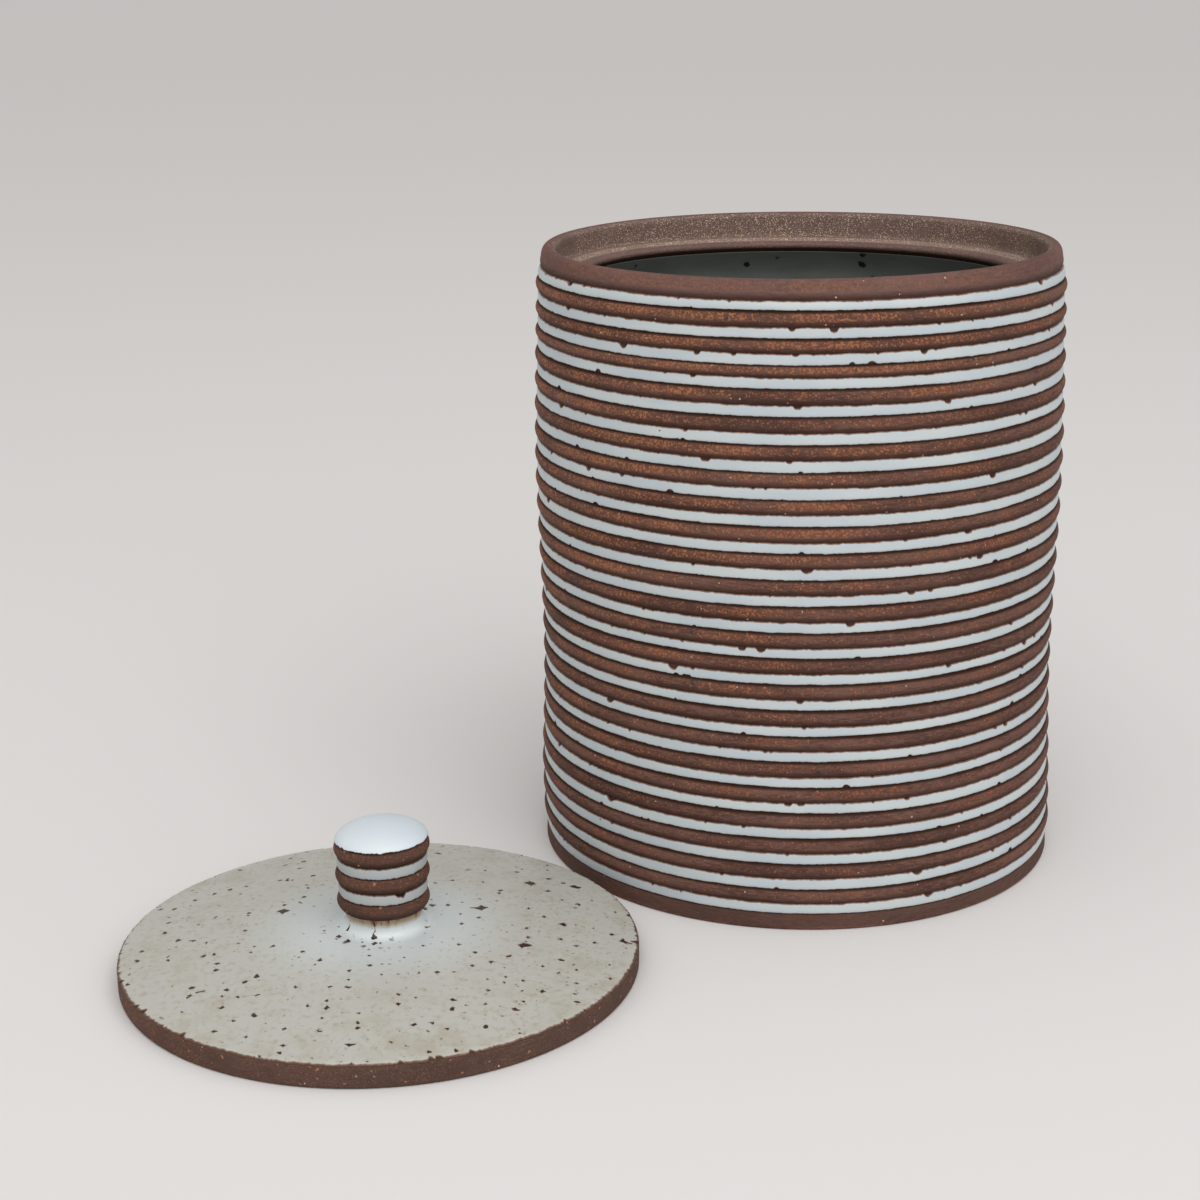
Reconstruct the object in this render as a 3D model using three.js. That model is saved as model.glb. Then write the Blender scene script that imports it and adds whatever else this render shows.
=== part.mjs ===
// A wheel-thrown stoneware jar with its lid taken off and laid on the table beside it.
// The dark wall is turned into rounded ribs, and a pale glaze fills the groove between each pair.
// Millimetres, +Z up. The origin is the centre of the jar's flat base.

import * as THREE from 'three';

// Jar: height, rim and the gentle swell of the thrown wall, measured out from the rim's radius
const JAR_HEIGHT = 150;
const RIM_RADIUS = 62;
const FOOT_SWELL = 2.4;
const WAIST_SWELL = 0.9;
const WAIST_HEIGHT = 50;
const BELLY_SWELL = 2.0;
const BELLY_HEIGHT = 100;
const NECK_SWELL = 1.0;
const WALL_THICKNESS = 5;
const BASE_THICKNESS = 6;
const BASE_CHAMFER = 0.6;
const INSIDE_CORNER = 4;

// Turned ribs and the grooves between them; two ribs near the neck were turned closer than the rest
const GROOVE_COUNT = 24;
const BAND_HEIGHT = 2.1;
const FOOT_RIB_HEIGHT = 4.5;
const RIM_ROLL_HEIGHT = 5.1;
const RIB_DEPTH = 0.65;
const GROOVE_DEPTH = 1.25;
const TIGHT_RIB = 20;
const TIGHT_RIB_SQUEEZE = 0.87;
const NEXT_RIB_SQUEEZE = 0.47;

// Rim: a rounded lip, a gallery that takes the lid, and a ledge that rolls down into the throat
const LIP_WALL = 3.8;
const LIP_ROUND = 2.6;
const LEDGE_WIDTH = 6.6;
const GALLERY_DEPTH = 5.7;
const GALLERY_FILLET = 0.9;
const THROAT_ROLL = 1.6;
const SHOULDER_DROP = 9;
const LINER_THICKNESS = 0.5;

// Lid: a low dome with a square bare edge, made to drop into the gallery
const LID_CLEARANCE = 0.6;
const LID_EDGE_HEIGHT = 5.1;
const LID_EDGE_ROUND = 0.4;
const LID_CHAMFER = 0.8;
const LID_RISE = 4.7;
const LID_DOME_POWER = 1.5;
const LID_REST_WIDTH = 7.5;
const LID_HOLLOW = 3;
const LID_GLAZE_THICKNESS = 0.4;

// Knob: a short neck, ribs with glazed grooves between them, and a glazed cap
const KNOB_RADIUS = 10.6;
const KNOB_TAPER = 0.4;
const KNOB_RIB_COUNT = 3;
const KNOB_RIB_HEIGHT = 3.65;
const KNOB_BAND_HEIGHT = 2.5;
const KNOB_RIB_DEPTH = 0.55;
const KNOB_GROOVE_DEPTH = 1.15;
const KNOB_NECK_RADIUS = 8.2;
const KNOB_NECK_HEIGHT = 4.65;
const KNOB_FOOT_FILLET = 2;
const KNOB_CAP_RISE = 3.9;
const KNOB_CAP_GLAZE = 0.9;

// Where the lid lies: its clear distance from the jar's foot, and its bearing from +X in degrees
const LID_STANDOFF = 3.86;
const LID_BEARING = 218.65;

// Faceting
const SEGMENTS = 24;
const RIB_STEPS = 3;
const DOME_STEPS = 5;
const ARC_STEPS = 3;
const LIP_STEPS = 6;

// Sizes that follow from those above
const galleryRadius = RIM_RADIUS - LIP_WALL;
const throatRadius = galleryRadius - LEDGE_WIDTH;
const insideRadius = RIM_RADIUS - WALL_THICKNESS;
const ledgeHeight = JAR_HEIGHT - GALLERY_DEPTH;
const grooveSpan = JAR_HEIGHT - RIM_ROLL_HEIGHT - FOOT_RIB_HEIGHT - BAND_HEIGHT;
const groovePitch = (grooveSpan + squeezeBelow(GROOVE_COUNT - 1)) / (GROOVE_COUNT - 1);
const lidRadius = galleryRadius - LID_CLEARANCE;
const lidDistance = RIM_RADIUS + FOOT_SWELL + LID_STANDOFF + lidRadius;
const knobFootRadius = KNOB_NECK_RADIUS + KNOB_FOOT_FILLET;
const knobSeatHeight = LID_EDGE_HEIGHT + LID_RISE;
const knobRibStart = knobSeatHeight + KNOB_NECK_HEIGHT;
const knobPitch = KNOB_RIB_HEIGHT + KNOB_BAND_HEIGHT;
const capStart = knobRibStart + KNOB_RIB_COUNT * KNOB_RIB_HEIGHT + (KNOB_RIB_COUNT - 1) * KNOB_BAND_HEIGHT;

// Finishes
const clay = { color: 0x684c42, roughness: 0.85, metalness: 0 };
const bandGlaze = { color: 0xb8bebd, roughness: 0.35, metalness: 0 };
const linerGlaze = { color: 0x8c948d, roughness: 0.35, metalness: 0 };
const lidGlaze = { color: 0xb8b6ae, roughness: 0.45, metalness: 0 };

const point = (radius, height) => new THREE.Vector2(radius, height);

// Points along a piece of an ellipse, angles in degrees from the outward direction.
function arc(centreRadius, centreHeight, acrossRadius, upRadius, fromDegrees, toDegrees, steps) {
  const points = [];
  for (let step = 0; step <= steps; step += 1) {
    const angle = THREE.MathUtils.degToRad(THREE.MathUtils.lerp(fromDegrees, toDegrees, step / steps));
    const radius = centreRadius + acrossRadius * Math.cos(angle);
    points.push(point(radius, centreHeight + upRadius * Math.sin(angle)));
  }
  return points;
}

// A turned solid: the profile is spun about the upright axis, with its faces pointing outwards.
function turned(profile) {
  const area = THREE.ShapeUtils.area(profile);
  const ordered = area < 0 ? [...profile].reverse() : [...profile];
  const closesOnAxis = ordered[0].x === 0 && ordered[ordered.length - 1].x === 0;
  const outline = closesOnAxis ? ordered : [...ordered, ordered[0].clone()];
  return new THREE.LatheGeometry(outline, SEGMENTS).rotateX(Math.PI / 2);
}

function piece(name, profile, finish) {
  const mesh = new THREE.Mesh(turned(profile), new THREE.MeshStandardMaterial(finish));
  mesh.name = name;
  return mesh;
}

// Radius of the rib crowns at a height: foot, waist, belly and neck joined by soft half waves.
function crownRadius(height) {
  const stations = [
    point(RIM_RADIUS + FOOT_SWELL, 0),
    point(RIM_RADIUS + WAIST_SWELL, WAIST_HEIGHT),
    point(RIM_RADIUS + BELLY_SWELL, BELLY_HEIGHT),
    point(RIM_RADIUS + NECK_SWELL, JAR_HEIGHT),
  ];
  const upper = stations.findIndex((station, index) => index > 0 && height <= station.y);
  const low = stations[upper - 1];
  const high = stations[upper];
  return THREE.MathUtils.lerp(low.x, high.x, THREE.MathUtils.smoothstep(height, low.y, high.y));
}

// One rounded rib: half an ellipse in section, from its lower edge to its upper edge.
function ribPoints(lowEdge, highEdge, depth, crown) {
  const middle = (lowEdge + highEdge) / 2;
  const half = (highEdge - lowEdge) / 2;
  const points = [];
  for (let step = 0; step <= RIB_STEPS; step += 1) {
    const angle = Math.PI * (step / RIB_STEPS - 0.5);
    const height = middle + half * Math.sin(angle);
    points.push(point(crown(height) - depth * (1 - Math.cos(angle)), height));
  }
  return points;
}

// A glazed groove has three corners in section: its two edges and the bottom of the cut.
function groovePoints(lowEdge, highEdge, edgeDepth, bottomDepth, crown) {
  const middle = (lowEdge + highEdge) / 2;
  return [
    point(crown(lowEdge) - edgeDepth, lowEdge),
    point(crown(middle) - bottomDepth, middle),
    point(crown(highEdge) - edgeDepth, highEdge),
  ];
}

// How far the tight ribs that lie below a groove bring it down.
function squeezeBelow(index) {
  const tight = index > TIGHT_RIB ? TIGHT_RIB_SQUEEZE : 0;
  const next = index > TIGHT_RIB + 1 ? NEXT_RIB_SQUEEZE : 0;
  return tight + next;
}

const bandLowEdge = (index) => FOOT_RIB_HEIGHT + index * groovePitch - squeezeBelow(index);

function jarGroove(index) {
  const lowEdge = bandLowEdge(index);
  return groovePoints(lowEdge, lowEdge + BAND_HEIGHT, RIB_DEPTH, GROOVE_DEPTH, crownRadius);
}

// Outside of the jar from the edge of its flat base up to the top groove.
function wallPoints() {
  const chamferTop = crownRadius(BASE_CHAMFER);
  const footShoulder = (FOOT_RIB_HEIGHT + BASE_CHAMFER) / 2;
  const points = [
    point(chamferTop - BASE_CHAMFER, 0),
    point(chamferTop, BASE_CHAMFER),
    point(crownRadius(footShoulder), footShoulder),
  ];
  for (let index = 0; index < GROOVE_COUNT; index += 1) {
    points.push(...jarGroove(index));
    if (index < GROOVE_COUNT - 1) {
      const rib = ribPoints(bandLowEdge(index) + BAND_HEIGHT, bandLowEdge(index + 1), RIB_DEPTH, crownRadius);
      points.push(...rib.slice(1, -1));
    }
  }
  return points;
}

// Rim from the outer side of the lip, over it, down the gallery wall and along the ledge.
function rimPoints() {
  const lipMiddle = RIM_RADIUS - LIP_WALL / 2;
  const lip = arc(lipMiddle, JAR_HEIGHT - LIP_ROUND, LIP_WALL / 2, LIP_ROUND, 0, 180, LIP_STEPS);
  const cornerRadius = galleryRadius - GALLERY_FILLET;
  const cornerHeight = ledgeHeight + GALLERY_FILLET;
  const corner = arc(cornerRadius, cornerHeight, GALLERY_FILLET, GALLERY_FILLET, 0, -90, ARC_STEPS);
  return [...lip, ...corner];
}

// The ledge rolls over into the throat and turns back under itself.
function throatPoints() {
  const rollRadius = throatRadius + THROAT_ROLL;
  return arc(rollRadius, ledgeHeight - THROAT_ROLL, THROAT_ROLL, THROAT_ROLL, 90, 225, ARC_STEPS);
}

// Inside of the jar from under the throat to the middle of the floor, drawn in by a coat.
function insidePoints(coat) {
  const under = throatPoints()[ARC_STEPS];
  const cornerRadius = insideRadius - INSIDE_CORNER;
  const cornerHeight = BASE_THICKNESS + INSIDE_CORNER;
  const bend = INSIDE_CORNER - coat;
  const corner = arc(cornerRadius, cornerHeight, bend, bend, 0, -90, ARC_STEPS);
  return [
    under,
    point(insideRadius - coat, under.y - SHOULDER_DROP),
    ...corner,
    point(0, BASE_THICKNESS + coat),
  ];
}

function jarBody() {
  const profile = [
    point(0, 0),
    ...wallPoints(),
    ...rimPoints(),
    ...throatPoints().slice(0, -1),
    ...insidePoints(0),
  ];
  return piece('jar_body', profile, clay);
}

// A coat has its clay face on the wall and its open face one thickness away from it.
function linerCoat() {
  const open = insidePoints(LINER_THICKNESS).slice(1).reverse();
  return piece('liner_glaze', [...insidePoints(0), ...open], linerGlaze);
}

function jar() {
  const group = new THREE.Group();
  group.add(jarBody(), linerCoat());
  for (let index = 0; index < GROOVE_COUNT; index += 1) {
    const number = String(index + 1).padStart(2, '0');
    group.add(piece(`glaze_band_${number}`, jarGroove(index), bandGlaze));
  }
  return group;
}

// Top of the lid from its edge in to the knob's foot, raised by a coat that thins out at the edge.
function domePoints(coat) {
  const edgeRadius = lidRadius - LID_EDGE_ROUND;
  const points = [];
  for (let step = 0; step <= DOME_STEPS; step += 1) {
    const share = 1 - step / DOME_STEPS;
    const height = LID_EDGE_HEIGHT + LID_RISE * (1 - share ** LID_DOME_POWER);
    const radius = THREE.MathUtils.lerp(knobFootRadius, edgeRadius, share);
    points.push(point(radius, height + (step === 0 ? 0 : coat)));
  }
  return points;
}

function lidDisc() {
  const restInside = lidRadius - LID_CHAMFER - LID_REST_WIDTH;
  const hollow = arc(0, 0, restInside, LID_HOLLOW, 90, 0, ARC_STEPS);
  const profile = [
    point(0, LID_HOLLOW),
    ...hollow.slice(1, -1),
    point(restInside, 0),
    point(lidRadius - LID_CHAMFER, 0),
    point(lidRadius, LID_CHAMFER),
    point(lidRadius, LID_EDGE_HEIGHT - LID_EDGE_ROUND),
    ...domePoints(0),
    point(0, knobSeatHeight),
  ];
  return piece('lid_disc', profile, clay);
}

// The knob's foot flares onto the lid: a hollow quarter round and a straight neck above it.
function neckPoints(coat) {
  const curve = KNOB_FOOT_FILLET - coat;
  const centreHeight = knobSeatHeight + KNOB_FOOT_FILLET;
  const foot = arc(knobFootRadius, centreHeight, curve, curve, 270, 180, ARC_STEPS);
  return [...foot, point(KNOB_NECK_RADIUS + coat, knobRibStart)];
}

// The lid's glaze runs from the edge up onto the neck and stops under the lowest rib.
function lidGlazeCoat() {
  const under = [...domePoints(0), ...neckPoints(0).slice(1)];
  const open = [...domePoints(LID_GLAZE_THICKNESS).slice(1), ...neckPoints(LID_GLAZE_THICKNESS).slice(1)];
  return piece('lid_glaze', [...under, ...open.reverse()], lidGlaze);
}

// The knob's ribs widen evenly from the neck to the cap.
function knobCrown(height) {
  const share = (height - knobRibStart) / (capStart - knobRibStart);
  return KNOB_RADIUS - KNOB_TAPER * (1 - share);
}

const knobRibLow = (index) => knobRibStart + index * knobPitch;

function knobGroove(index) {
  const lowEdge = knobRibLow(index) + KNOB_RIB_HEIGHT;
  return groovePoints(lowEdge, knobRibLow(index + 1), KNOB_RIB_DEPTH, KNOB_GROOVE_DEPTH, knobCrown);
}

function capPoints(rise) {
  const edgeRadius = KNOB_RADIUS - KNOB_RIB_DEPTH;
  const curve = arc(0, capStart, edgeRadius, rise, 0, 90, DOME_STEPS);
  return [...curve.slice(0, -1), point(0, capStart + rise)];
}

function knob() {
  const profile = [point(0, knobSeatHeight), ...neckPoints(0)];
  for (let index = 0; index < KNOB_RIB_COUNT; index += 1) {
    const lowEdge = knobRibLow(index);
    profile.push(...ribPoints(lowEdge, lowEdge + KNOB_RIB_HEIGHT, KNOB_RIB_DEPTH, knobCrown));
    if (index < KNOB_RIB_COUNT - 1) {
      profile.push(knobGroove(index)[1]);
    }
  }
  profile.push(...capPoints(KNOB_CAP_RISE - KNOB_CAP_GLAZE).slice(1));
  return piece('lid_knob', profile, clay);
}

function knobCapCoat() {
  const under = capPoints(KNOB_CAP_RISE - KNOB_CAP_GLAZE);
  const open = capPoints(KNOB_CAP_RISE).slice(1).reverse();
  return piece('knob_cap_glaze', [...under, ...open], bandGlaze);
}

function lid() {
  const group = new THREE.Group();
  const bearing = THREE.MathUtils.degToRad(LID_BEARING);
  group.position.set(lidDistance * Math.cos(bearing), lidDistance * Math.sin(bearing), 0);
  group.add(lidDisc(), knob(), lidGlazeCoat(), knobCapCoat());
  for (let index = 0; index < KNOB_RIB_COUNT - 1; index += 1) {
    group.add(piece(`knob_band_glaze_${index + 1}`, knobGroove(index), bandGlaze));
  }
  return group;
}

const liddedJar = new THREE.Group();
liddedJar.add(jar(), lid());

export default liddedJar;
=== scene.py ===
# %% [markdown]
# # A ribbed stoneware jar, with its lid laid beside it
#
# The real jar was thrown on a wheel from dark, iron-rich clay. Grooves were turned into its wall, and a
# pale glaze was laid only in the grooves, so brown ribs and white bands take turns from foot to rim.
# Everything round comes from the same idea, so this lesson has one main tool: a profile that is carried
# round an axis, as the wheel does it, with small hand-made faults that change from angle to angle.
#
# The frame holds the exact sizes. Each piece reads its place from there and is worked out in millimetres,
# because a potter's sizes are easier to read that way.

# %% Load the frame
import math

import bpy
import numpy as np
from mathutils import Matrix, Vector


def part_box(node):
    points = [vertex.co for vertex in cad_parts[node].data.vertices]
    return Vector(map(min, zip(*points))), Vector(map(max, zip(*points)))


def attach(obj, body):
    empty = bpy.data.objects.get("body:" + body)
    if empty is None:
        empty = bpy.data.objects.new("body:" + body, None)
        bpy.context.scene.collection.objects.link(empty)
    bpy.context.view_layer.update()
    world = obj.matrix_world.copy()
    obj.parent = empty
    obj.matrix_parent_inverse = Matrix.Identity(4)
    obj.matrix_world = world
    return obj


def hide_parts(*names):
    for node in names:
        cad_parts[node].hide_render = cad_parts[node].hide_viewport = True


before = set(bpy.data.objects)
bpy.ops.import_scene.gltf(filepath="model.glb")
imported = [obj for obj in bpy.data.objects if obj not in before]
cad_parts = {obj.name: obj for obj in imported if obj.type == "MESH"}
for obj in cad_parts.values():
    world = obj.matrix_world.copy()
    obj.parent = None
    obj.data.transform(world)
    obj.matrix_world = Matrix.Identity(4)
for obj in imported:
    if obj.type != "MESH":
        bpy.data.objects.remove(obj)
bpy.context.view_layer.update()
MM = 1000.0


def node_box(node):
    """Lowest and highest corner of a node of the frame, in millimetres."""
    return np.array(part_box(node)) * MM


def show(name, data):
    """A new object in the scene for a mesh, a lamp or a camera."""
    thing = bpy.data.objects.new(name, data)
    bpy.context.scene.collection.objects.link(thing)
    return thing


# %% [markdown]
# ## Where the photographer stood
#
# The camera looks a little down on the jar, from near, with a lens about as long as a short telephoto.
# Its place was found by matching the ellipses of the rim, the foot and the lid. A matrix that turns the
# camera by its tilt and its small roll, and then moves it, is easier to check than a tracking constraint.

# %% Camera
CAMERA_PLACE = (-0.0487, -0.5321, 0.2162)
CAMERA_TILT = 16.251
CAMERA_ROLL = -0.545
CAMERA_LENS = 66.64
CAMERA_SENSOR = 36.0


def make_camera():
    """The camera's matrix: moved to its place, tilted below the horizon, rolled about its own axis."""
    lens = bpy.data.cameras.new("photo_camera")
    lens.lens = CAMERA_LENS
    lens.sensor_width = CAMERA_SENSOR
    lens.sensor_fit = "HORIZONTAL"
    camera = show("photo_camera", lens)
    tilt = Matrix.Rotation(math.radians(90 - CAMERA_TILT), 4, "X")
    roll = Matrix.Rotation(math.radians(CAMERA_ROLL), 4, "Z")
    camera.matrix_world = Matrix.Translation(CAMERA_PLACE) @ tilt @ roll
    return camera


bpy.context.scene.camera = make_camera()
print("camera at", CAMERA_PLACE, "with a lens of", CAMERA_LENS, "mm")

# %% [markdown]
# ## The wheel: a profile carried round an axis
#
# A turned piece is a grid with the angle in one direction and the profile in the other. A ready-made spin
# tool could make it, but a grid of numbers lets every angle have its own profile, and that is what makes
# thrown clay look thrown. The profile runs outwards along the bottom, up the outside and in over the top.
# With that order every face points out. A profile either closes on itself, as in a ring of glaze, or ends
# near the axis, where one point closes the pole with a fan of triangles.

# %% Turned meshes
def around(count):
    """Angles round the axis, as a column, from 0 up to one step short of a full turn."""
    return np.linspace(0, 2 * np.pi, count, endpoint=False)[:, None]


def ring_quads(turns, points, closed):
    """Four corners for each cell of the grid: this angle and the next, this point and the next."""
    angle = np.arange(turns)[:, None] * points
    following = np.roll(angle, -1, axis=0)
    point = np.arange(points if closed else points - 1)[None, :]
    above = (point + 1) % points
    corners = [angle + point, following + point, following + above, angle + above]
    return np.stack(corners, axis=-1).reshape(-1, 4)


def pole_fans(turns, points):
    """Triangles from the first and last profile points to the two extra points on the axis."""
    angle = np.arange(turns) * points
    following = np.roll(angle, -1)
    bottom, top = np.full(turns, turns * points), np.full(turns, turns * points + 1)
    low = np.stack([bottom, following, angle], axis=-1)
    high = np.stack([angle + points - 1, following + points - 1, top], axis=-1)
    return np.concatenate([low, high])


def fill_mesh(mesh, places, quads, fans):
    """Puts the points, in metres, and the corner lists of the faces into a mesh as whole arrays."""
    corners = np.concatenate([quads.ravel(), fans.ravel()]).astype(np.int32)
    starts = np.concatenate([np.arange(len(quads)) * 4, quads.size + np.arange(len(fans)) * 3])
    mesh.vertices.add(len(places))
    mesh.vertices.foreach_set("co", (places / MM).astype(np.float32).ravel())
    mesh.loops.add(len(corners))
    mesh.loops.foreach_set("vertex_index", corners)
    mesh.polygons.add(len(starts))
    mesh.polygons.foreach_set("loop_start", starts.astype(np.int32))
    mesh.update(calc_edges=True)
    mesh.shade_smooth()


def turned_piece(name, radius, height, centre=(0, 0), slip=0.0, closed=False, marks=None):
    """x = centre + radius cos(angle), y = centre + radius sin(angle), z = height, at each angle and point.

    A slip is added to x, for a ring that sits off the centre. Marks are values on the points that the
    finishes read, such as the distance from an edge.
    """
    radius, height = np.broadcast_arrays(radius, height)
    turns, points = radius.shape
    angle = around(turns)
    places = np.stack([radius * np.cos(angle), radius * np.sin(angle), height], axis=-1)
    places[..., :2] += centre
    places[..., 0] += slip
    places = places.reshape(-1, 3)
    fans = np.zeros((0, 3), int)
    if not closed:
        poles = np.array([[*centre, height[:, 0].mean()], [*centre, height[:, -1].mean()]])
        places = np.concatenate([places, poles])
        fans = pole_fans(turns, points)
    mesh = bpy.data.meshes.new(name)
    fill_mesh(mesh, places, ring_quads(turns, points, closed), fans)
    for label, values in (marks or {}).items():
        values = np.broadcast_to(values, (turns, points))
        ends = [] if closed else [values[:, 0].mean(), values[:, -1].mean()]
        layer = mesh.attributes.new(label, "FLOAT", "POINT")
        layer.data.foreach_set("value", np.concatenate([values.ravel(), ends]).astype(np.float32))
    return show(name, mesh)


def set_in_place(piece, finish, body, slot, *nodes):
    """Gives a piece its finish and its body, and hides the nodes of the frame that it stands for.

    The slot is not used.
    """
    piece.data.materials.append(finish)
    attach(piece, body)
    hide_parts(*nodes)
    print(piece.name, len(piece.data.vertices), "points")


print("a closed ring of 8 angles and 3 points has", len(ring_quads(8, 3, True)), "faces")

# %% [markdown]
# ## Ragged edges
#
# No thrown ring is exact. Ragged faults run along the edge of a glaze, with small bites where a grain of
# clay pushed the glaze away. They have to meet themselves after a full turn, so the noise is a sum of whole
# waves with random phases. The seeds are fixed, so each run gives the same jar.

# %% Noise round a ring
BITE_LEAST = 0.18
BITE_SHALLOWEST = 0.6
BITE_WAVER = 0.1


def ring_noise(dice, count, fewest, most, fall):
    """A sum of waves, fewest to most of them round the ring, as high as their number to the power -fall.

    The phases are random, and the sum is scaled to a standard deviation of one.
    """
    waves = np.arange(fewest, most + 1)
    spectrum = np.zeros(count // 2 + 1, complex)
    spectrum[waves] = waves ** -float(fall) * np.exp(2j * np.pi * dice.random(len(waves)))
    noise = np.fft.irfft(spectrum, count)
    return (noise / noise.std())[:, None]


def turned_from(angle, side):
    """How far an angle lies from a side, the short way round: from -pi to pi."""
    return (angle - side + np.pi) % (2 * np.pi) - np.pi


def ring_bites(dice, count, radius, number, widest, deepest):
    """The deepest of some round bites at each angle: depth (1 - (distance / width) ** 2) ** 0.5.

    Most bites are small: their share of the widest and the deepest grows with the cube of a random number.
    Noise on the distance makes their outlines uneven.
    """
    place = dice.random(number) * 2 * np.pi
    share = BITE_LEAST + (1 - BITE_LEAST) * dice.random(number) ** 3
    depth = deepest * share * (BITE_SHALLOWEST + (1 - BITE_SHALLOWEST) * dice.random(number))
    waver = 1 + BITE_WAVER * ring_noise(dice, count, count // 24, count // 8, 0.5)
    away = np.abs(turned_from(around(count), place)) * radius * waver / (widest * share)
    return (depth * np.sqrt(np.clip(1 - away**2, 0, 1))).max(axis=1, keepdims=True)


sample = ring_noise(np.random.default_rng(1), 256, 2, 40, 1)
print("a sample of ring noise has a spread of", sample.std().round(3))

# %% [markdown]
# ## Slow faults of the hand
#
# Slow faults are waves that wander round the jar. Some are larger: the rim sinks towards the front left,
# the lower rings sag to the right, the foot was trimmed more on the left, and the upper half leans left.
# The row of a wave has its size, its number round the ring, its twist with height and its phase. The row of
# a fault has its size, its side in degrees, and the heights at which it starts and at which it is full.

# %% Slow faults
RISE_WAVES = ((0.10, 1, 0.021, 0.6), (0.07, 2, -0.037, 2.1), (0.05, 3, 0.31, 0.0))
PRESS_WAVES = ((0.07, 2, 0.013, 0.9), (0.04, 3, -0.05, 0.0))
PRESS_MIDDLE = 0.11
CALM_FOOT = 6.0
CALM_RIM = 8.0
RIM_DIP = (0.9, -125, -9.0, 0.0)
RING_SAG = (0.45, -10, 95.0, 55.0)
RING_SAG_FOOT = 4.0
FOOT_TRIM = (0.9, 180, 22.4, 6.4)
LEAN_LEFT = 0.32
LEAN_RIGHT = 0.15
LEAN_LOW = 30.0
LEAN_MIDDLE = 60.0
LEAN_HIGH = 95.0


def fade(value, start, end):
    """0 where a value is at start, 1 where it is at end, a straight line between, and level outside."""
    return np.clip((value - start) / (end - start), 0, 1)


def fault(angle, height, size, side, start, end):
    """A fault of one side that fades with height: size (0.5 + 0.5 cos(angle - side)) ** 2 fade."""
    return size * (0.5 + 0.5 * np.cos(angle - math.radians(side))) ** 2 * fade(height, start, end)


def slow_waves(angle, height, rows):
    """The sum of size sin(number angle + twist height + phase) over the rows of a table."""
    return sum(size * np.sin(number * angle + twist * height + phase) for size, number, twist, phase in rows)


def hand_wander(angle, height, top):
    """How far a turned ring wanders up or down: waves that die at foot and rim, the dip and the sag.

    The heights of the dip are counted from the top.
    """
    waves = slow_waves(angle, height, RISE_WAVES) * fade(height, 0, CALM_FOOT)
    waves = waves * fade(height, top, top - CALM_RIM)
    sag = fault(angle, height, *RING_SAG) * fade(height, 0, RING_SAG_FOOT)
    return waves - fault(angle, height - top, *RIM_DIP) - sag


def hand_squeeze(angle, height):
    """How far the wall was pressed in or trimmed: never out, so that the jar keeps its size."""
    return PRESS_MIDDLE - slow_waves(angle, height, PRESS_WAVES) + fault(angle, height, *FOOT_TRIM)


def hand_lean(height):
    """How far the jar's middle lies to the side: to the left above, and less to the right below."""
    above, below = fade(height, LEAN_MIDDLE, LEAN_HIGH), fade(height, LEAN_MIDDLE, LEAN_LOW)
    return LEAN_RIGHT * below - LEAN_LEFT * above


print("at its top the jar leans by", hand_lean(LEAN_HIGH), "mm")

# %% [markdown]
# ## Finishes: small tools first
#
# Each finish is a node tree. Building one by hand takes many lines, so a few helpers name what a painter
# does: take a value, multiply it, step it softly, and lay one colour over another.

# %% Node helpers
def paint(red, green, blue):
    """A colour as it looks on screen, each part from 0 to 255, as the linear colour that a shader takes."""
    screen = np.array([red, green, blue]) / 255
    linear = np.where(screen <= 0.04045, screen / 12.92, ((screen + 0.055) / 1.055) ** 2.4)
    return (*linear.tolist(), 1.0)


def plug(node, inputs):
    """Sets inputs of a node. Each is a plain value, or the output of an earlier node."""
    for socket, value in inputs.items():
        if isinstance(value, bpy.types.NodeSocket):
            node.id_data.links.new(value, node.inputs[socket])
        else:
            node.inputs[socket].default_value = value


def wire(kind, inputs, tree=None, **settings):
    """Adds a node with its settings and its inputs, to the given tree or to the tree of its inputs."""
    earlier = [value for value in inputs.values() if isinstance(value, bpy.types.NodeSocket)]
    node = (tree or earlier[0].id_data).nodes.new("ShaderNode" + kind)
    for setting, value in settings.items():
        setattr(node, setting, value)
    plug(node, inputs)
    return node


def new_finish(name, gloss):
    """An empty finish: the material, its shader, and the places of the surface's points."""
    material = bpy.data.materials.new(name)
    material.use_nodes = True
    shader = material.node_tree.nodes["Principled BSDF"]
    plug(shader, {"Specular IOR Level": gloss})
    return material, shader, wire("TexCoord", {}, material.node_tree).outputs["Object"]


def mark(where, name):
    """The value of a mark on the points, in the tree that their places are in."""
    return wire("Attribute", {}, where.id_data, attribute_name=name).outputs["Fac"]


def calc(operation, first, second, clamp=False):
    """One sum on two values."""
    return wire("Math", {0: first, 1: second}, operation=operation, use_clamp=clamp).outputs[0]


def product(first, *others):
    """The product of some values."""
    for other in others:
        first = calc("MULTIPLY", first, other)
    return first


def span(value, start, end, low=0.0, high=1.0, kind="LINEAR"):
    """Runs from low to high while the value runs from start to end, and is level outside."""
    inputs = {"Value": value, "From Min": start, "From Max": end, "To Min": low, "To Max": high}
    return wire("MapRange", inputs, interpolation_type=kind).outputs["Result"]


def step(value, start, end):
    """A soft step: 0 where the value is at start, 1 where it is at end."""
    return span(value, start, end, kind="SMOOTHSTEP")


def lay(lower, upper, *shares):
    """One colour laid over another, by the product of its shares."""
    return wire("Mix", {0: product(*shares), 6: lower, 7: upper}, data_type="RGBA").outputs[2]


def layers(colour, *rows):
    """Tones laid over a colour one after another. Each row has a tone and its shares."""
    for tone, *shares in rows:
        colour = lay(colour, tone, *shares)
    return colour


print("a mid grey of 128 is", round(paint(128, 128, 128)[0], 4), "in linear light")

# %% [markdown]
# ## Finishes: patterns
#
# These helpers name the things a potter would name: a tone that drifts, packed grains, spots of a size. All
# patterns read Object coordinates, in metres, or a mark on the points. Nothing depends on the view.

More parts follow.
